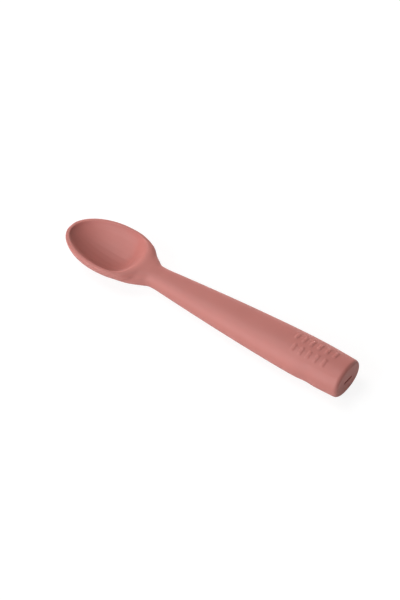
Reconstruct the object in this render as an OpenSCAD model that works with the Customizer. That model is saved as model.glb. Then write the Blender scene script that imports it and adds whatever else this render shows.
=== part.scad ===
// Baby spoon: a soft silicone skin moulded over a stiff core.
// The spoon lies along X with its tip at -X, its hollow facing up and its underside on z = 0.
// The origin is on the table, halfway along the spoon. Stations (s) are measured from the tip.

/* [Overall] */
// Length from the tip of the bowl to the butt of the handle
spoon_l = 130; // [118:1:160]

/* [Bowl] */
// Widest width, across the outside of the lip
bowl_w = 25.6; // [22:0.2:30]
// Length from the tip back to the widest place
bowl_front_l = 21; // [17:0.5:26]
// Length from the widest place back to where the bowl has run out into the neck
bowl_back_l = 21.2; // [17:0.2:25]
// Height of the lip above the table
rim_h = 9.5; // [8.6:0.1:11]
// How far the lip dips at the tip
tip_drop = 0.5; // [0:0.1:1.5]
// Width of the band between the outside of the lip and the hollow, at the tip
lip_w = 1.6; // [1.2:0.1:2.4]
// Width of that band at the sides
lip_side_w = 1.2; // [1:0.1:2.4]
// Rounding of the outer edge of the lip
lip_r = 0.8; // [0.5:0.1:1.1]
// Depth of the hollow below the lip
scoop_depth = 7.1; // [5:0.1:7.2]
// How far the widest place of the hollow lies behind the widest place of the bowl
scoop_shift = 1.5; // [0:0.1:2.5]
// Length from the widest place of the hollow back to its end
scoop_back_l = 12.5; // [9:0.5:14]

/* [Neck] */
// Length from the end of the bowl back to the slimmest place
neck_run = 3; // [1:0.2:6]
// Width of the neck at its slimmest
neck_w = 9.7; // [8:0.1:13]
// Thickness of the neck
neck_t = 6.6; // [5.5:0.1:8.5]
// Height of the underside of the neck above the table
neck_lift = 2.6; // [1.5:0.1:3.5]

/* [Grip] */
// Widest width of the grip
grip_w = 17.8; // [17:0.2:22]
// Thickness of the grip at the butt
grip_t = 12.8; // [11:0.1:16]
// Width of the grip at the butt
butt_w = 16.4; // [13:0.2:16.8]
// Length over which the grip draws in to the butt
butt_taper_l = 19; // [12:0.5:28]
// Length of the underside that lies level on the table
rest_l = 10; // [6:0.5:16]
// Rounding of the edge of the butt
butt_r = 1.4; // [0.8:0.1:2.5]

/* [Trimmed gate] */
// Distance of the trimmed gate mark from the butt
gate_back = 13.5; // [10:0.5:25]
// Length of the mark
gate_l = 9; // [6:0.5:12]
// Depth of the mark
gate_depth = 0.55; // [0.2:0.05:0.8]

/* [Core] */
// Thickness of the blade of the core
blade_t = 2.2; // [1.6:0.1:2.6]
// Silicone beside the blade
side_wall = 2.3; // [1.8:0.1:2.8]
// Silicone above and below the spine at its back end
over_wall = 2.6; // [2:0.1:3.4]
// Silicone between the back end of the blade and the butt
back_wall = 11; // [7:0.5:16]
// How far the tongue reaches ahead of the neck
tongue_l = 6.8; // [4:0.2:8]
// Thickness of the spine that runs along both faces of the blade
spine_t = 1.8; // [1.2:0.1:2.2]
// Diameter of the windows that lock the silicone to the blade
window_d = 2; // [1.4:0.1:2.4]
// Distance from one pair of windows to the next
window_pitch = 8; // [5:0.5:14]
// Width of the tail that holds the core in its mould
tail_w = 5; // [3.5:0.1:7]
// Thickness of the tail
tail_t = 1; // [0.7:0.1:1.6]
// Depth of the slot in the butt, down to the end of the tail
tail_recess = 0.8; // [0.4:0.1:2]

/* [Hidden] */

// Places along the spoon
bowl_end = bowl_front_l + bowl_back_l;
neck_at = bowl_end + neck_run;
grip_at = spoon_l - butt_taper_l;
rest_at = spoon_l - rest_l;
round_at = spoon_l - butt_r;
scoop_at = bowl_front_l + scoop_shift;
scoop_end = scoop_at + scoop_back_l;
gate_at = spoon_l - gate_back;
gate_from = gate_at - gate_l / 2;
gate_to = gate_at + gate_l / 2;

// Where the lines between the bowl and the neck begin and end, as shares of the run between them,
// and where the hollow's ramp begins, as a share of its back part
low_share = 0.85;
rise_share = 0.19;
edge_from_share = 0.31;
edge_to_share = 0.83;
ramp_share = 0.25;
low_at = bowl_front_l * low_share;
rise_at = between(bowl_front_l, neck_at, rise_share);
edge_from = between(bowl_front_l, neck_at, edge_from_share);
edge_to = between(bowl_front_l, neck_at, edge_to_share);
ramp_from = between(scoop_at, scoop_end, ramp_share);

// Powers of the section: 2 is an ellipse and higher is squarer
lip_power = 7;
bowl_power = 1.92;
neck_power = 2.6;
grip_power = 2.15;

// Powers of the long lines
root_power = 2.7;
fade_power = 1.45;
taper_power = 1.42;
rise_power = 1.15;
keel_power = 1.8;
scar_power = 3;

// Powers of the hollow's wall: low is a steep wall with a crisp edge, high is a soft ramp
wall_power = 0.68;
ramp_power = 1.6;

// Powers of the hollow's plan in front and at its back end: 2 is an oval and higher is fuller
plan_power = 2;
back_power = 2.6;

// Least half width of the ring's middle part, as a share of its half width
flat_share = 0.4;

// Fineness of the skin: rings in each stretch, and steps around a quarter of a ring.
// The crowd power draws the rings of the front towards the lip.
crowd_power = 1.3;
nose_rings = 4;
front_rings = 14;
root_rings = 20;
grip_rings = 17;
gate_rings = 8;
rest_rings = 2;
round_rings = 4;
keel_steps = 13;
lip_steps = 6;
scoop_steps = 7;

// Fineness of the core, and the place of its lines as a share of the way between two windows
tongue_step = 15;
line_share = 0.5;
round_fn = 32;

skin_color = [0.8, 0.53, 0.5];
core_color = [0.9, 0.88, 0.84];

function between(a, b, share) = a + (b - a) * share;
function clamp(t) = max(0, min(1, t));
function reach(a, b, s) = clamp((s - a) / (b - a));
function ease(a, b, s) = let (t = reach(a, b, s)) t * t * (3 - 2 * t);
function arc(share, power) = pow(max(0, 1 - pow(abs(share), power)), 1 / power);
function span(a, b, n) = [for (i = [0 : n - 1]) between(a, b, i / n)];

// How far the rounded edge of the butt draws the section in
function butt_in(s) = let (k = max(0, s - round_at)) butt_r - sqrt(max(0, butt_r * butt_r - k * k));

// Plan: half an oval in front, which then fades back into the outline of the handle
function handle_half(s) =
    between(grip_w, neck_w, pow(1 - reach(neck_at, grip_at, s), taper_power)) / 2
    - (grip_w - butt_w) / 2 * pow(reach(grip_at, spoon_l, s), 2);
function bowl_share(s) = pow(1 - pow(reach(bowl_front_l, bowl_end, s), root_power), fade_power);
function half_width(s) = s < bowl_front_l
    ? bowl_w / 2 * arc(1 - s / bowl_front_l, 2)
    : between(handle_half(s), bowl_w / 2, bowl_share(s)) - butt_in(s);

// Side view: lip, crown line, underside and the line of the widest place
function swell(s) = 1 - pow(1 - reach(neck_at, rest_at, s), rise_power);
function thickness(s) = between(neck_t, grip_t, swell(s));
function underside(s) = neck_lift * (1 - swell(s));
function lip_z(s) = rim_h - tip_drop * pow(max(0, 1 - s / bowl_front_l), 2);
function crown_z(s) = between(lip_z(s), underside(s) + thickness(s), ease(rise_at, neck_at, s));
function edge_drop(s) = between(lip_r, thickness(s) / 2, ease(edge_from, edge_to, s));
function edge_z(s) = crown_z(s) - edge_drop(s);
function nose(s) = arc(1 - min(1, s / lip_r), 2);
function keel_z(s) = s < low_at
    ? edge_z(s) * (1 - sqrt(max(0, 1 - pow(1 - s / low_at, keel_power))))
    : underside(s) * ease(low_at, neck_at, s);
function rise_of(s) = edge_drop(s) * nose(s) - butt_in(s);
function fall_of(s) = edge_z(s) - keel_z(s) - butt_in(s);

// Section powers along the spoon
function handle_power(s) = between(neck_power, grip_power, reach(neck_at, rest_at, s));
function top_power(s) = between(lip_power, handle_power(s), ease(edge_from, edge_to, s));
function low_power(s) = between(bowl_power, handle_power(s), ease(edge_from, edge_to, s));

// The hollow: an oval inside the lip, with a crisp wall at the front and a ramp up to the neck
function scoop_len(s) = s < scoop_at ? scoop_at - lip_w : scoop_back_l;
function scoop_wide() = bowl_w / 2 - lip_side_w;
function scoop_way(s) = abs(s - scoop_at) / scoop_len(s);
function oval_power(s) = between(plan_power, back_power, reach(scoop_at, scoop_end, s));
function scoop_half(s) = scoop_way(s) < 1 ? scoop_wide() * arc(scoop_way(s), oval_power(s)) : 0;
function scoop_power(s) = between(wall_power, ramp_power, ease(ramp_from, scoop_end, s));
function scoop_dip(s, y) =
    let (power = oval_power(s))
    let (inside = 1 - pow(scoop_way(s), power) - pow(abs(y) / scoop_wide(), power))
    inside > 0 ? scoop_depth * pow(inside, scoop_power(s)) : 0;

// The shallow mark left on one side where the gate was trimmed
function gate_in(s, share) =
    let (t = (s - gate_at) / (gate_l / 2))
    share < 0 && abs(t) < 1 ? gate_depth * pow(1 - t * t, 2) * pow(-share, scar_power) : 0;

// One point of the skin on the upper or the lower side, at a share of the half width
function top_point(s, share) =
    let (y = half_width(s) * share)
    [s, y + gate_in(s, share), edge_z(s) + rise_of(s) * arc(share, top_power(s)) - scoop_dip(s, y)];
function low_point(s, share) =
    [s, half_width(s) * share + gate_in(s, share), edge_z(s) - fall_of(s) * arc(share, low_power(s))];

// Shares of the half width at which a ring has its points, from the middle out
function mid_share(s) = max(scoop_half(s) / half_width(s), flat_share);
function top_shares(s) = concat(
    [for (i = [0 : scoop_steps - 1]) mid_share(s) * sin(90 * i / scoop_steps)],
    [for (i = [0 : lip_steps]) between(mid_share(s), 1, sin(90 * i / lip_steps))]);
function low_shares(s) = [for (i = [1 : keel_steps]) pow(cos(90 * i / keel_steps), 2 / low_power(s))];

// A ring runs over the top from the right to the left and back below
function ring(s) =
    let (up = top_shares(s), low = low_shares(s), n = len(up), m = len(low))
    concat(
        [for (i = [n - 1 : -1 : 0]) top_point(s, up[i])],
        [for (i = [1 : n - 1]) top_point(s, -up[i])],
        [for (i = [0 : m - 1]) low_point(s, -low[i])],
        [for (i = [m - 2 : -1 : 0]) low_point(s, low[i])]);

// Stations of the rings, close together round the nose, the gate mark and the butt
lip_angle = acos(1 - lip_w / bowl_front_l);
nose_angles = [for (i = [1 : nose_rings]) lip_angle * i / nose_rings];
front_angles = [for (i = [1 : front_rings]) between(lip_angle, 90, pow(i / front_rings, crowd_power))];
stations = concat(
    [for (a = concat(nose_angles, front_angles)) bowl_front_l * (1 - cos(a))],
    [for (i = [1 : root_rings - 1]) between(bowl_front_l, neck_at, i / root_rings)],
    span(neck_at, gate_from, grip_rings),
    span(gate_from, gate_to, gate_rings),
    span(gate_to, round_at, rest_rings),
    [for (i = [0 : round_rings]) round_at + butt_r * sin(90 * i / round_rings)]);

// The whole skin as one closed surface
module skin() {
    rings = [for (s = stations) ring(s)];
    around = len(rings[0]);
    last = len(rings) - 1;
    points = concat([for (r = rings) each r], [[0, 0, edge_z(0)]]);
    tip = len(points) - 1;
    sides = [for (j = [0 : last - 1]) for (i = [0 : around - 1])
        let (k = (i + 1) % around, a = j * around, b = a + around)
        each [[a + i, b + i, b + k], [a + i, b + k, a + k]]];
    nose_fan = [for (i = [0 : around - 1]) [tip, i, (i + 1) % around]];
    butt_face = [[for (i = [around - 1 : -1 : 0]) last * around + i]];
    polyhedron(points, concat(sides, nose_fan, butt_face), convexity = 6);
}

// The core follows the middle of the handle, in lines that run between its windows
blade_end = spoon_l - back_wall;
tail_end = spoon_l - tail_recess;
tongue_half = neck_w / 2 - side_wall;
tongue_at = neck_at - tongue_l + tongue_half;
window_count = floor((blade_end - neck_at) / window_pitch);
core_stations = concat(
    [neck_at],
    [for (i = [window_count : -1 : 1]) blade_end - (i - line_share) * window_pitch],
    [blade_end]);
slot_over = butt_r;

function middle(s) = edge_z(max(s, neck_at));
function blade_half(s) = half_width(s) - side_wall;
function spine_half(s) =
    (grip_t / 2 - over_wall) * reach(neck_at, blade_end, s);

module blade_plan() {
    tongue = [for (a = [90 : tongue_step : 270]) [tongue_at + tongue_half * cos(a), tongue_half * sin(a)]];
    back = [for (s = core_stations) [s, blade_half(s)]];
    polygon(concat(
        tongue,
        [for (p = back) [p[0], -p[1]]],
        [for (i = [len(back) - 1 : -1 : 0]) back[i]]));
}

module side_profile(at, half) {
    n = len(at) - 1;
    polygon(concat(
        [for (i = [0 : n]) [at[i], middle(at[i]) - half[i]]],
        [for (i = [n : -1 : 0]) [at[i], middle(at[i]) + half[i]]]));
}

// Draws a side profile and thickens it to both sides of the spoon's middle plane
module thickened(wide) {
    rotate([90, 0, 0])
        linear_extrude(height = wide, center = true)
            children();
}

module blade() {
    at = concat([tongue_at - neck_w], core_stations);
    intersection() {
        linear_extrude(height = grip_t)
            blade_plan();
        thickened(grip_w)
            side_profile(at, [for (s = at) blade_t / 2]);
    }
}

module spine() {
    thickened(spine_t)
        side_profile(core_stations, [for (s = core_stations) spine_half(s)]);
}

// A flat bar with round sides, from inside the blade to the station where it ends
module tail(end) {
    side = (tail_w - tail_t) / 2;
    translate([blade_end - tail_w, 0, middle(spoon_l)])
        rotate([90, 0, 90])
            linear_extrude(height = end - blade_end + tail_w) {
                square([2 * side, tail_t], center = true);
                for (y = [-side, side])
                    translate([y, 0])
                        circle(d = tail_t, $fn = round_fn);
            }
}

// Windows in pairs beside the spine wherever the blade is wide enough, and one in the tongue
module windows() {
    rim = window_d / 2;
    translate([tongue_at, 0, 0])
        cylinder(d = window_d, h = grip_t, $fn = round_fn);
    for (i = [1 : window_count - 1]) {
        s = blade_end - i * window_pitch;
        room = blade_half(s) - spine_t / 2;
        if (room > window_d + rim)
            for (side = [-1, 1])
                translate([s, side * (spine_t + room) / 2, 0])
                    cylinder(d = window_d, h = grip_t, $fn = round_fn);
    }
}

module core_block(end) {
    difference() {
        union() {
            blade();
            spine();
            tail(end);
        }
        windows();
    }
}

module core_insert() {
    color(core_color)
        translate([-spoon_l / 2, 0, 0])
            core_block(tail_end);
}

// The skin has the core's own shape taken out, and its slot runs out through the butt
module silicone_overmould() {
    color(skin_color)
        translate([-spoon_l / 2, 0, 0])
            difference() {
                skin();
                core_block(spoon_l + slot_over);
            }
}

silicone_overmould();
core_insert();
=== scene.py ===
import math

import bmesh
import bpy
from mathutils import Matrix, Vector


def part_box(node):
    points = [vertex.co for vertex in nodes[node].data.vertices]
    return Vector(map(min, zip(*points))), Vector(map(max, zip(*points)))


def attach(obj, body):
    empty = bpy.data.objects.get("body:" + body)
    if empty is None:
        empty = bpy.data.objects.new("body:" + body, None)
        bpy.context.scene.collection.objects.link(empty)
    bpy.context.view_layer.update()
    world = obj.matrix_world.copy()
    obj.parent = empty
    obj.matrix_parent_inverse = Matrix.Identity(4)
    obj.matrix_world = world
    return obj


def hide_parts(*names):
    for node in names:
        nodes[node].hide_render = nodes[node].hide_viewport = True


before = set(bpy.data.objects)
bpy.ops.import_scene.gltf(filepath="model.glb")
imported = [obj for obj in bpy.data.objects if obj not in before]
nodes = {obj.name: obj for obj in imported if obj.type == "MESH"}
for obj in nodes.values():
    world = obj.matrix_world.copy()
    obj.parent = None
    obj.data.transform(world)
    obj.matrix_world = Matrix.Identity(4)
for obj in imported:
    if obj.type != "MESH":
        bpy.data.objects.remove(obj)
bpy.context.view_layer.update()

cad_skin = nodes["silicone_overmould"]
skin_low, skin_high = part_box("silicone_overmould")
body = "root"

# A millimetre, and a hair's width for telling places apart
MM = 0.001
hair = 0.01 * MM

# Ends and half width of the spoon, taken from the frame
tip_x = skin_low.x
butt_x = skin_high.x
half_bowl = skin_high.y

# Bowl and root of the handle, in places along the spoon from its tip
widest_at = 21 * MM
root_at = 38.6 * MM
lip_z = 9.5 * MM
lip_w = 1.6 * MM
lip_side_w = 1.2 * MM
hollow_shift = 1.5 * MM
hollow_back = 12.5 * MM
back_fullness = 0.6
front_reach = widest_at + hollow_shift
back_reach = root_at - front_reach
hollow_front = front_reach - lip_w
inner = half_bowl - lip_side_w
lip_size = (hollow_front, inner, hollow_back, 0.0)
middle = Vector((tip_x + front_reach, 0, lip_z))

# Loops of the hollow, from its edge down: share of the edge's size, and depth below the lip
hollow_loops = (
    (0.965, 0.9 * MM),
    (0.88, 2.1 * MM),
    (0.74, 3.6 * MM),
    (0.56, 4.9 * MM),
    (0.36, 5.8 * MM),
)

# Loops of the lip's band and of the outside: reach in front, half width, reach behind, depth
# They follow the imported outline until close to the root
band_inset = 0.6 * MM
edge_inset = 0.1 * MM
flank_inset = 0.9 * MM
outline_end = 3 * MM
past_middle = 1 * MM
least_half = 1 * MM
band_loops = (
    (front_reach - band_inset, half_bowl - band_inset, 14.8 * MM, 0.0),
    (front_reach - edge_inset, half_bowl - edge_inset, 15.5 * MM, 0.2 * MM),
)
outside_loops = (
    (front_reach, half_bowl, back_reach, 0.8 * MM),
    (20.6 * MM, 11.8 * MM, back_reach, 4.0 * MM),
    (15.9 * MM, 9.0 * MM, back_reach, 6.9 * MM),
    (9.5 * MM, 5.0 * MM, back_reach, 8.8 * MM),
)

# Root of the handle: corners drawn in, as shares of the half width from and to, then of width and height
root_corners = ((0.9, 1.1, 0.8, 0.77), (0.6, 0.9, 1.0, 0.92))

# Rings of the handle, in millimetres from the tip, closest in the neck and at the rounded butt
handle_stations = (
    40, 41.5, 43, 44.5, 46.5, 50, 55, 61, 68, 76, 84, 92, 99,
    105, 109.5, 112.5, 115.5, 118.5, 121.5, 124.5, 127.2,
    128.6, 129.25, 129.7, 129.94, 130,
)

# Fineness of the cage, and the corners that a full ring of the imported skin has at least
around = 32
root_reach = 3
ring_corners = 40

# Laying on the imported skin: the hollow with its band is known by slope and place, and falls from a lift
top_slope = 0.02
top_share = 1.08
top_trim = 0.3 * MM
lift = 2 * MM

# Crisp lip, in front and along both sides
lip_crease = 0.9
crisp_share = 0.012
crisp_reach = 9 * MM
crisp_drop = 1.2 * MM

# Facets are rubbed out everywhere but at the lip's two edges and at the rounded butt
facet_rounds = 2
neck_from = 20 * MM
kept_from = 0.9
kept_to = 1.05
kept_drop = 1.9 * MM
kept_butt = 2.2 * MM

# Soft back edge of the hollow: its start and run along, and its span and fades as shares across
back_rounds = 160
soft_start = 4.5 * MM
soft_run = 5 * MM
soft_slope = 0.3
soft_from = 0.5
soft_to = 1.4
soft_rise = 0.25
soft_fall = 0.2

# Hips where the bowl meets the neck, on the upper flank: place from the tip, reach and depth
hip_drop = 4 * MM
hip_fade = 2 * MM
hip_half = 4 * MM
hip_span = 2.5
full_hip = ("full_hip", 33.6 * MM, 1.5 * MM, 0.28 * MM)
tight_hip = ("tight_hip", 37.4 * MM, 1.1 * MM, -0.22 * MM)

# Slot in the butt
slot_w = 5 * MM
slot_h = 1 * MM
slot_depth = 1.3 * MM
slot_round = slot_h * 0.49
slot_edge_angle = math.radians(40)

# Ribs on the grip: place across, place of the first along and how many there are, for each row
rib_l = 4.0 * MM
rib_w = 2.6 * MM
rib_h = 0.14 * MM
rib_pitch = 3.3 * MM
rib_round = rib_w * 0.45
rib_soft = rib_h * 0.9
rib_top_w = 0.3
rib_top_l = 0.6
rib_rows = ((2.5 * MM, 106.2 * MM, 6), (-3.0 * MM, 107.9 * MM, 5))
rib_edge_angle = math.radians(50)

# Colours of the two materials
silicone_color = (0.568, 0.196, 0.169)
plastic_color = (0.7, 0.67, 0.6)

# Lamps: name, azimuth, elevation, size, power, tone, and whether it shows in the gloss
lamps = (
    ("key", -25, 32, 0.6, 3.75, (0.96, 1.02, 1.04), True),
    ("top", -90, 62, 0.6, 3.5, (1.05, 0.99, 0.97), True),
    ("left", -150, 4, 0.3, 8.2, (0.93, 1.03, 1.05), False),
    ("side", -95, 8, 0.4, 2.4, (0.96, 1.02, 1.02), False),
    ("front", 12, 12, 0.6, 2.95, (1, 1, 1), True),
    ("far", 150, 12, 0.6, 0.95, (1, 1, 0.9), True),
)
lamp_distance = 0.9
world_strength = 0.04

# Floor: how much of its plain white the camera sees, near the spoon and far from it
floor_size = 4
floor_paint = 0.86
floor_glow = 1.15
near_share = 0.75
fade_from = 0.12
fade_to = 0.4

# Camera
camera_azimuth = math.radians(36.902)
camera_elevation = math.radians(46.339)
camera_target = Vector((-5.11 * MM, 4.683 * MM, 0))
camera_distance = 0.62
camera_lens = 97.46


def clear_selection():
    if bpy.context.mode != "OBJECT":
        bpy.ops.object.mode_set(mode="OBJECT")
    bpy.ops.object.select_all(action="DESELECT")


def work_on(obj):
    clear_selection()
    obj.select_set(True)
    bpy.context.view_layer.objects.active = obj


def edit(obj):
    work_on(obj)
    bpy.ops.object.mode_set(mode="EDIT")
    bpy.ops.mesh.select_mode(type="VERT")
    bpy.ops.mesh.select_all(action="DESELECT")


def done_edit():
    bpy.ops.object.mode_set(mode="OBJECT")


def settle(obj, name):
    # The object's place, turn and size go into its mesh
    obj.name = name
    obj.data.name = name
    bpy.ops.object.transform_apply(location=True, rotation=True, scale=True)


def pick(obj, rule):
    bpy.ops.mesh.select_mode(type="VERT")
    bpy.ops.mesh.select_all(action="DESELECT")
    shape = bmesh.from_edit_mesh(obj.data)
    shape.verts.index_update()
    for v in shape.verts:
        v.select = rule(v)
    shape.select_flush(True)
    bmesh.update_edit_mesh(obj.data)


def pick_edges_along(obj, axis, least):
    # Edges that run along the axis for more than the least length
    bpy.ops.mesh.select_mode(type="EDGE")
    shape = bmesh.from_edit_mesh(obj.data)
    for e in shape.edges:
        run = e.verts[0].co - e.verts[1].co
        e.select = abs(run[axis]) > least
    bmesh.update_edit_mesh(obj.data)


def picked(obj):
    shape = bmesh.from_edit_mesh(obj.data)
    shape.verts.index_update()
    return {v.index for v in shape.verts if v.select}


def move(x=0.0, y=0.0, z=0.0):
    bpy.ops.transform.translate(value=(x, y, z), orient_type="GLOBAL")


def scale(x, y, z, about):
    bpy.ops.transform.resize(value=(x, y, z), orient_type="GLOBAL", center_override=tuple(about))


def apply_modifier(obj, kind, **settings):
    work_on(obj)
    mod = obj.modifiers.new(kind.lower(), kind)
    for key, value in settings.items():
        setattr(mod, key, value)
    bpy.ops.object.modifier_apply(modifier=mod.name)


def group(obj, name, weight):
    # A vertex group with a weight for each vertex, given by its place
    work_on(obj)
    held = obj.vertex_groups.new(name=name)
    for v in obj.data.vertices:
        w = weight(v)
        if w > 0:
            held.add([v.index], w, "REPLACE")
    return held.name


def drop_groups(obj):
    work_on(obj)
    bpy.ops.object.vertex_group_remove(all=True)


def block(name, size, place):
    # A block at its size and place, open for editing
    clear_selection()
    bpy.ops.mesh.primitive_cube_add(size=1, location=place)
    piece = bpy.context.active_object
    piece.scale = size
    settle(piece, name)
    edit(piece)
    return piece


def towards(azimuth, elevation):
    # Direction from the spoon: azimuth 0 is in front, on the -Y side
    flat = math.cos(elevation)
    return Vector((math.sin(azimuth) * flat, -math.cos(azimuth) * flat, math.sin(elevation)))


def read_rings(node):
    # Place, half width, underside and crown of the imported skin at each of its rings
    rings = {}
    for v in node.data.vertices:
        place = (round(v.co.y, 6), round(v.co.z, 6))
        rings.setdefault(round(v.co.x, 6), set()).add(place)
    table = []
    for x, places in sorted(rings.items()):
        if len(places) >= ring_corners:
            ys = [p[0] for p in places]
            zs = [p[1] for p in places]
            table.append((x, max(ys), min(zs), max(zs)))
    return table


skin_rings = read_rings(cad_skin)


def ring_at(x):
    # Half width, underside and crown at any place, between the rings on both sides of it
    for a, b in zip(skin_rings, skin_rings[1:]):
        if a[0] <= x <= b[0]:
            t = (x - a[0]) / (b[0] - a[0])
            return tuple(p + (q - p) * t for p, q in zip(a[1:], b[1:]))
    return skin_rings[-1][1:] if x > skin_rings[-1][0] else skin_rings[0][1:]


def next_loop(cage, was, size):
    # Draws a new loop out of the selected one, from its size to the new size
    bpy.ops.mesh.extrude_region_move()
    loop = picked(cage)
    pick(cage, lambda v: v.index in loop and v.co.x < middle.x - hair)
    scale(size[0] / was[0], 1, 1, middle)
    pick(cage, lambda v: v.index in loop and v.co.x > middle.x + hair)
    scale(size[2] / was[2], 1, 1, middle)
    pick(cage, lambda v: v.index in loop)
    scale(1, size[1] / was[1], 1, middle)
    move(z=was[3] - size[3])
    return loop


def widen_pairs(cage, loop, half_at):
    # Each left and right pair of the loop is set to the half width wanted at its place
    shape = bmesh.from_edit_mesh(cage.data)
    shape.verts.ensure_lookup_table()
    pairs = {}
    for i in loop:
        co = shape.verts[i].co
        if abs(co.y) > least_half:
            pairs.setdefault(round(co.x, 6), []).append((i, abs(co.y)))
    for x, pair in pairs.items():
        half = half_at(x)
        if half is not None:
            chosen = {i for i, _ in pair}
            pick(cage, lambda v: v.index in chosen)
            scale(1, half / pair[0][1], 1, middle)


def outline_half(inset):
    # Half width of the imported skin's outline, drawn in by the inset, and none close to the root
    def half_at(x):
        if x > tip_x + root_at - outline_end:
            return None
        if x > middle.x:
            return ring_at(x)[0] - inset
        outer = middle.x - (middle.x - x) * front_reach / (front_reach - inset)
        return ring_at(outer)[0] * (half_bowl - inset) / half_bowl
    return half_at


def behind(rule):
    # The same rule, held only behind the middle
    return lambda x: rule(x) if x > middle.x + past_middle else None


def hollow_power(x):
    # Power of the hollow's plan: an oval in front that grows fuller towards the back
    return 2 + back_fullness * min(1, max(0, (x - middle.x) / hollow_back))


def hollow_way(x):
    # Way from the middle towards the hollow's front or back end, as a share
    return abs(x - middle.x) / (hollow_front if x < middle.x else hollow_back)


def hollow_half(x):
    power = hollow_power(x)
    return inner * (1 - min(1, hollow_way(x)) ** power) ** (1 / power)


def inside_lip(p):
    # Place inside the hollow's edge, as a share: 1 is the edge itself
    power = hollow_power(p.x)
    return (hollow_way(p.x) ** power + (abs(p.y) / inner) ** power) ** (1 / power)


def hollow_cage(name):
    # The lip's inner edge is the first loop, and loops drawn in and let down from it make the hollow
    clear_selection()
    bpy.ops.mesh.primitive_circle_add(vertices=around, radius=inner, fill_type="NOTHING", location=middle)
    cage = bpy.context.active_object
    settle(cage, name)
    edit(cage)
    pick(cage, lambda v: v.co.x < middle.x - hair)
    scale(hollow_front / inner, 1, 1, middle)
    pick(cage, lambda v: v.co.x > middle.x + hair)
    scale(hollow_back / inner, 1, 1, middle)
    pick(cage, lambda v: True)
    lip_edge = picked(cage)
    widen_pairs(cage, lip_edge, behind(hollow_half))
    pick(cage, lambda v: True)
    was = lip_size
    for share, depth in hollow_loops:
        size = (hollow_front * share, inner * share, hollow_back * share, depth)
        next_loop(cage, was, size)
        was = size
    bpy.ops.mesh.fill_grid(span=around // 4)
    return cage, lip_edge


def outside_cage(cage, lip_edge):
    # The band and the outside: loops drawn out from the same edge and let down round the bowl
    pick(cage, lambda v: v.index in lip_edge)
    was = lip_size
    rows = []
    for size in band_loops + outside_loops:
        rows.append(next_loop(cage, was, size))
        was = size
    bpy.ops.mesh.fill_grid(span=around // 4)
    widen_pairs(cage, rows[0], outline_half(band_inset))
    widen_pairs(cage, rows[1], outline_half(edge_inset))
    widen_pairs(cage, rows[2], outline_half(0))
    widen_pairs(cage, rows[3], behind(outline_half(flank_inset)))
    return rows[len(band_loops):]


def root_patch(cage, rows):
    # The back of the outside is squared up into the neck's first section, which the handle grows out of
    half, low, high = ring_at(tip_x + root_at)
    deep = (high - low) / (len(rows) - 1)
    patch_rows = []
    for i, row in enumerate(rows):
        shape = bmesh.from_edit_mesh(cage.data)
        shape.verts.ensure_lookup_table()
        verts = sorted((shape.verts[j] for j in row), key=lambda v: -v.co.x)[: 2 * root_reach + 1]
        part = {v.index for v in verts}
        wide = max(v.co.y for v in verts)
        at = sum(v.co.x for v in verts) / len(verts)
        z = verts[0].co.z
        pick(cage, lambda v: v.index in part)
        scale(0, half / wide, 1, (at, 0, z))
        move(x=tip_x + root_at - at, z=high - deep * i - z)
        patch_rows.append(part)
    centre = (tip_x + root_at, 0, (low + high) / 2)
    ends = patch_rows[0] | patch_rows[-1]
    for near, far, wide_share, high_share in root_corners:
        pick(cage, lambda v: v.index in ends and near * half <= abs(v.co.y) <= far * half)
        scale(1, wide_share, high_share, centre)
    patch = set().union(*patch_rows)
    pick(cage, lambda v: v.index in patch)


def handle_cage(cage):
    # The patch is drawn back ring by ring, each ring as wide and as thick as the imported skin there
    at = tip_x + root_at
    was = ring_at(at)
    for station in handle_stations:
        x = tip_x + station * MM
        now = ring_at(x)
        bpy.ops.mesh.extrude_region_move(TRANSFORM_OT_translate={"value": (x - at, 0, 0)})
        mid_was = (was[1] + was[2]) / 2
        mid_now = (now[1] + now[2]) / 2
        scale(1, now[0] / was[0], (now[2] - now[1]) / (was[2] - was[1]), (x, 0, mid_was))
        move(z=mid_now - mid_was)
        was = now
        at = x
    bpy.ops.mesh.select_all(action="SELECT")
    bpy.ops.mesh.normals_make_consistent(inside=False)
    done_edit()


def on_top(v):
    # The hollow and the band round it face upwards, and the outside of the bowl faces down
    if v.normal.z <= top_slope:
        return False
    if v.co.x > middle.x:
        return inside_lip(v.co) < top_share
    along = (v.co.x - middle.x) / (front_reach - top_trim)
    across = v.co.y / (half_bowl - top_trim)
    return math.hypot(along, across) < 1


def lay_on_solid(cage):
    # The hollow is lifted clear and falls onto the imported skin, the rest goes to the nearest place
    hollow = group(cage, "hollow", lambda v: 1.0 if on_top(v) else 0.0)
    outside = group(cage, "outside", lambda v: 0.0 if on_top(v) else 1.0)
    edit(cage)
    bpy.ops.object.vertex_group_set_active(group=hollow)
    bpy.ops.object.vertex_group_select()
    move(z=lift)
    done_edit()
    apply_modifier(
        cage, "SHRINKWRAP", target=cad_skin, wrap_method="PROJECT", use_project_z=True,
        use_negative_direction=True, use_positive_direction=False, cull_face="BACK",
        vertex_group=hollow,
    )
    apply_modifier(
        cage, "SHRINKWRAP", target=cad_skin, wrap_method="NEAREST_SURFACEPOINT",
        vertex_group=outside,
    )
    drop_groups(cage)


def on_crisp_lip(v):
    # The hollow's edge is crisp in front and along both sides
    near_edge = abs(inside_lip(v.co) - 1) < crisp_share
    return near_edge and v.co.x < middle.x + crisp_reach and v.co.z > lip_z - crisp_drop


def crease_lip(cage):
    edit(cage)
    pick(cage, on_crisp_lip)
    bpy.ops.mesh.select_mode(type="EDGE")
    bpy.ops.transform.edge_crease(value=lip_crease)
    done_edit()


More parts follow.
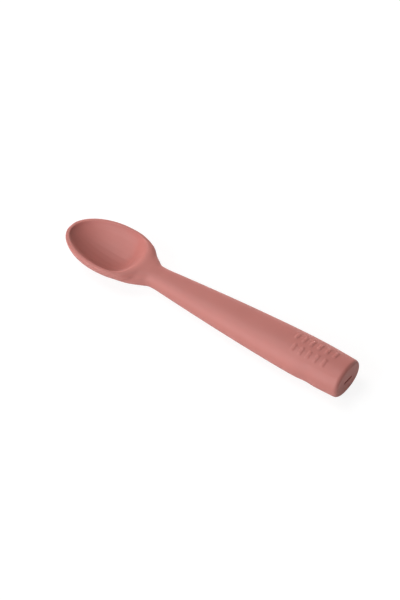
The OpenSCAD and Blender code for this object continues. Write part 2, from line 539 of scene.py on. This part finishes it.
def away_from_lip(v):
    # Full weight everywhere but at the lip's two edges and at the rounded butt
    if v.co.x > middle.x + neck_from:
        return 0.0 if v.co.x > butt_x - kept_butt else 1.0
    if on_top(v):
        return 0.0 if kept_from <= inside_lip(v.co) <= kept_to else 1.0
    return 1.0 if v.co.z < lip_z - kept_drop else 0.0


def smooth_facets(cage):
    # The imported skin's facets are rubbed out of the laid surface
    free = group(cage, "free", away_from_lip)
    apply_modifier(cage, "SMOOTH", factor=0.5, iterations=facet_rounds, vertex_group=free)
    drop_groups(cage)


def back_edge(v):
    # Weight of the soft edge that the hollow has at its back, none at the crisp sides
    place = inside_lip(v.co)
    behind_start = v.co.x - middle.x - soft_start
    if behind_start < 0 or v.normal.z < soft_slope or not soft_from < place < soft_to:
        return 0.0
    along = min(1, behind_start / soft_run)
    across = min(1, (place - soft_from) / soft_rise, (soft_to - place) / soft_fall)
    return along * across


def soften_back(cage):
    soft = group(cage, "soft", back_edge)
    apply_modifier(cage, "SMOOTH", factor=0.5, iterations=back_rounds, vertex_group=soft)
    drop_groups(cage)


def hip(at, reach):
    # Weight of a short stretch of the upper flank, where the bowl turns in to the neck
    def weight(v):
        above = v.co.z - lip_z + hip_drop
        if above < 0 or abs(v.co.y) < hip_half or abs(v.co.x - at) > hip_span * reach:
            return 0.0
        high = min(1, above / hip_fade)
        sideways = math.sqrt(max(0, 1 - v.normal.z ** 2))
        return high * sideways * math.exp(-((v.co.x - at) / reach) ** 2)
    return weight


def sharpen_hips(cage):
    # The hips stand a little fuller and the corner behind them a little tighter
    for name, at, reach, depth in (full_hip, tight_hip):
        held = group(cage, name, hip(tip_x + at, reach))
        apply_modifier(
            cage, "DISPLACE", direction="NORMAL", strength=depth, mid_level=0, vertex_group=held,
        )
    drop_groups(cage)


def fit_skin(cage):
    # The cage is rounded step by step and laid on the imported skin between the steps
    crease_lip(cage)
    apply_modifier(cage, "SUBSURF", levels=1, render_levels=1)
    lay_on_solid(cage)
    apply_modifier(cage, "SUBSURF", levels=1, render_levels=1)
    lay_on_solid(cage)
    smooth_facets(cage)
    soften_back(cage)
    sharpen_hips(cage)
    apply_modifier(cage, "SUBSURF", levels=1, render_levels=1)


def cut_slot(cage):
    # The slot in the butt, round at both sides, with the end of the core's tail at its bottom
    mid_z = (skin_low.z + skin_high.z) / 2
    cutter = block("slot_cutter", (2 * slot_depth, slot_w, slot_h), (butt_x, 0, mid_z))
    pick_edges_along(cutter, 0, slot_depth)
    bpy.ops.mesh.bevel(offset=slot_round, segments=6, profile=0.5)
    done_edit()
    apply_modifier(cage, "BOOLEAN", object=cutter, operation="DIFFERENCE", solver="EXACT")
    bpy.data.objects.remove(cutter)
    work_on(cage)
    bpy.ops.object.shade_smooth_by_angle(angle=slot_edge_angle)


def make_skin():
    cage, lip_edge = hollow_cage("silicone_skin")
    rows = outside_cage(cage, lip_edge)
    root_patch(cage, rows)
    handle_cage(cage)
    fit_skin(cage)
    cut_slot(cage)
    return cage


def make_rib():
    # One low rib lying across the grip: rounded ends, sloped sides and a soft top edge
    piece = block("grip_ribs", (rib_w, rib_l, rib_h * 2), (0, 0, 0))
    pick_edges_along(piece, 2, rib_h)
    bpy.ops.mesh.bevel(offset=rib_round, segments=6, profile=0.5)
    pick(piece, lambda v: v.co.z > 0)
    scale(rib_top_w, rib_top_l, 1, (0, 0, 0))
    bpy.ops.mesh.select_mode(type="EDGE")
    bpy.ops.mesh.region_to_loop()
    bpy.ops.mesh.bevel(offset=rib_soft, segments=4, profile=0.5)
    done_edit()
    return piece


def set_on_skin(rib, skin, x, y):
    # A copy of the rib, set down on the skin's top and tilted to lie flat on it
    _, place, normal, _ = skin.ray_cast(Vector((x, y, 1)), Vector((0, 0, -1)))
    piece = rib.copy()
    piece.data = rib.data.copy()
    bpy.context.scene.collection.objects.link(piece)
    turn = Vector((0, 0, 1)).rotation_difference(normal)
    piece.matrix_world = Matrix.Translation(place) @ turn.to_matrix().to_4x4()
    return piece


def make_ribs(skin):
    # Two staggered rows of ribs on the top of the grip, joined into one piece
    rib = make_rib()
    pieces = []
    for y, start, count in rib_rows:
        for i in range(count):
            pieces.append(set_on_skin(rib, skin, tip_x + start + i * rib_pitch, y))
    bpy.data.objects.remove(rib)
    clear_selection()
    for piece in pieces:
        piece.select_set(True)
    bpy.context.view_layer.objects.active = pieces[0]
    bpy.ops.object.join()
    settle(pieces[0], "grip_ribs")
    bpy.ops.object.shade_smooth_by_angle(angle=rib_edge_angle)
    return pieces[0]


def new_material(name, base, roughness):
    mat = bpy.data.materials.new(name)
    mat.use_nodes = True
    tree = mat.node_tree
    bsdf = tree.nodes["Principled BSDF"]
    bsdf.inputs["Base Color"].default_value = (*base, 1)
    bsdf.inputs["Roughness"].default_value = roughness
    where = tree.nodes.new("ShaderNodeTexCoord")
    return mat, tree, bsdf, where


def noise(tree, where, cell, detail, rough=0.5):
    # Soft noise on the object's own coordinates, with cells of about the given size
    tex = tree.nodes.new("ShaderNodeTexNoise")
    tex.inputs["Scale"].default_value = 1 / cell
    tex.inputs["Detail"].default_value = detail
    tex.inputs["Roughness"].default_value = rough
    tree.links.new(where.outputs["Object"], tex.inputs["Vector"])
    return tex.outputs["Fac"]


def map_range(tree, value, span, low, high):
    # The value's span is spread from the low to the high result
    ramp = tree.nodes.new("ShaderNodeMapRange")
    ramp.inputs["From Min"].default_value = span[0]
    ramp.inputs["From Max"].default_value = span[1]
    ramp.inputs["To Min"].default_value = low
    ramp.inputs["To Max"].default_value = high
    tree.links.new(value, ramp.inputs["Value"])
    return ramp.outputs["Result"]


def spread(tree, fac, low, high):
    # A noise keeps mostly to the middle of its range
    return map_range(tree, fac, (0.3, 0.7), low, high)


def tint(tree, fac, one, two):
    mix = tree.nodes.new("ShaderNodeMix")
    mix.data_type = "RGBA"
    mix.inputs["A"].default_value = (*one, 1)
    mix.inputs["B"].default_value = (*two, 1)
    tree.links.new(fac, mix.inputs["Factor"])
    return mix.outputs["Result"]


def bump(tree, height, depth, strength, under=None):
    node = tree.nodes.new("ShaderNodeBump")
    node.inputs["Distance"].default_value = depth
    node.inputs["Strength"].default_value = strength
    tree.links.new(height, node.inputs["Height"])
    if under is not None:
        tree.links.new(under, node.inputs["Normal"])
    return node.outputs["Normal"]


def silicone_material():
    # Matte pigmented silicone: even colour, faint clouding, a satin grain from the mould
    mat, tree, bsdf, where = new_material("matte_silicone", silicone_color, 0.55)
    darker = tuple(c * 0.97 for c in silicone_color)
    lighter = tuple(c * 1.03 for c in silicone_color)
    clouds = spread(tree, noise(tree, where, cell=14 * MM, detail=2), low=0, high=1)
    tree.links.new(tint(tree, clouds, darker, lighter), bsdf.inputs["Base Color"])
    patches = noise(tree, where, cell=3.5 * MM, detail=3)
    tree.links.new(spread(tree, patches, low=0.52, high=0.6), bsdf.inputs["Roughness"])
    swell = noise(tree, where, cell=5 * MM, detail=1)
    waves = bump(tree, swell, depth=0.04 * MM, strength=0.5)
    satin = noise(tree, where, cell=0.22 * MM, detail=3, rough=0.6)
    grain = bump(tree, satin, depth=0.012 * MM, strength=0.6, under=waves)
    tree.links.new(grain, bsdf.inputs["Normal"])
    bsdf.inputs["Specular IOR Level"].default_value = 0.65
    bsdf.inputs["Subsurface Weight"].default_value = 0.05
    bsdf.inputs["Subsurface Radius"].default_value = (1.0, 0.45, 0.35)
    bsdf.inputs["Subsurface Scale"].default_value = 1.2 * MM
    bsdf.inputs["Sheen Weight"].default_value = 0.08
    bsdf.inputs["Sheen Roughness"].default_value = 0.5
    return mat


def plastic_material():
    # Natural moulded plastic with a fine spark-eroded grain
    mat, tree, bsdf, where = new_material("core_plastic", plastic_color, 0.45)
    patches = noise(tree, where, cell=2.5 * MM, detail=2)
    tree.links.new(spread(tree, patches, low=0.4, high=0.5), bsdf.inputs["Roughness"])
    darker = tuple(c * 0.96 for c in plastic_color)
    clouds = spread(tree, noise(tree, where, cell=6 * MM, detail=2), low=0, high=1)
    tree.links.new(tint(tree, clouds, darker, plastic_color), bsdf.inputs["Base Color"])
    sparks = noise(tree, where, cell=0.15 * MM, detail=2)
    grain = bump(tree, sparks, depth=0.01 * MM, strength=0.5)
    tree.links.new(grain, bsdf.inputs["Normal"])
    return mat


def seen_white(tree):
    # 1 for rays from the camera, which see the plain white of the studio
    return tree.nodes.new("ShaderNodeLightPath").outputs["Is Camera Ray"]


def mix_shaders(tree, share, one, two, out):
    mix = tree.nodes.new("ShaderNodeMixShader")
    tree.links.new(share, mix.inputs[0])
    tree.links.new(one.outputs[0], mix.inputs[1])
    tree.links.new(two.outputs[0], mix.inputs[2])
    tree.links.new(mix.outputs[0], out.inputs["Surface"])


def white_light(tree, kind, strength):
    node = tree.nodes.new(kind)
    node.inputs["Color"].default_value = (1, 1, 1, 1)
    node.inputs["Strength"].default_value = strength
    return node


def add_floor():
    # White paint that keeps the spoon's shadow, under a plain white that fades in away from it
    clear_selection()
    bpy.ops.mesh.primitive_plane_add(size=floor_size, location=(0, 0, 0))
    floor = bpy.context.active_object
    floor.name = "floor"
    mat = bpy.data.materials.new("white_floor")
    mat.use_nodes = True
    tree = mat.node_tree
    tree.nodes.clear()
    out = tree.nodes.new("ShaderNodeOutputMaterial")
    white = white_light(tree, "ShaderNodeEmission", floor_glow)
    paint = tree.nodes.new("ShaderNodeBsdfDiffuse")
    paint.inputs["Color"].default_value = (floor_paint, floor_paint, floor_paint, 1)
    where = tree.nodes.new("ShaderNodeTexCoord")
    away = tree.nodes.new("ShaderNodeVectorMath")
    away.operation = "LENGTH"
    tree.links.new(where.outputs["Object"], away.inputs[0])
    fade = map_range(tree, away.outputs["Value"], (fade_from, fade_to), near_share, 1)
    share = tree.nodes.new("ShaderNodeMath")
    share.operation = "MULTIPLY"
    tree.links.new(seen_white(tree), share.inputs[0])
    tree.links.new(fade, share.inputs[1])
    mix_shaders(tree, share.outputs[0], paint, white, out)
    floor.data.materials.append(mat)


def add_lamp(name, azimuth, elevation, size, power, tone, glossy):
    # A soft round lamp aimed at the spoon
    aim = towards(math.radians(azimuth), math.radians(elevation))
    data = bpy.data.lights.new(name, "AREA")
    data.shape = "DISK"
    data.size = size
    data.energy = power
    data.color = tone
    lamp = bpy.data.objects.new(name, data)
    bpy.context.scene.collection.objects.link(lamp)
    lamp.location = aim * lamp_distance
    lamp.rotation_euler = aim.to_track_quat("Z", "Y").to_euler()
    lamp.visible_camera = False
    lamp.visible_glossy = glossy


def add_world():
    world = bpy.data.worlds.new("studio")
    bpy.context.scene.world = world
    world.use_nodes = True
    tree = world.node_tree
    tree.nodes.clear()
    out = tree.nodes.new("ShaderNodeOutputWorld")
    soft = white_light(tree, "ShaderNodeBackground", world_strength)
    white = white_light(tree, "ShaderNodeBackground", 1)
    mix_shaders(tree, seen_white(tree), soft, white, out)


def add_camera():
    aim = towards(camera_azimuth, camera_elevation)
    data = bpy.data.cameras.new("camera")
    data.sensor_width = 36
    data.lens = camera_lens
    data.clip_start = 0.01
    data.clip_end = 20
    camera = bpy.data.objects.new("camera", data)
    bpy.context.scene.collection.objects.link(camera)
    camera.location = camera_target + aim * camera_distance
    camera.rotation_euler = aim.to_track_quat("Z", "Y").to_euler()
    bpy.context.scene.camera = camera


# Silicone skin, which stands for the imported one, and the ribs on its grip
skin = make_skin()
ribs = make_ribs(skin)
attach(ribs, body)
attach(skin, body)
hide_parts("silicone_overmould")

# Materials of the skin, the ribs and the core
silicone = silicone_material()
skin.data.materials.clear()
skin.data.materials.append(silicone)
ribs.data.materials.append(silicone)
core = nodes["core_insert"]
core.data.materials.clear()
core.data.materials.append(plastic_material())

# Studio
add_floor()
for lamp in lamps:
    add_lamp(*lamp)
add_world()
add_camera()
bpy.context.scene.view_settings.view_transform = "Standard"
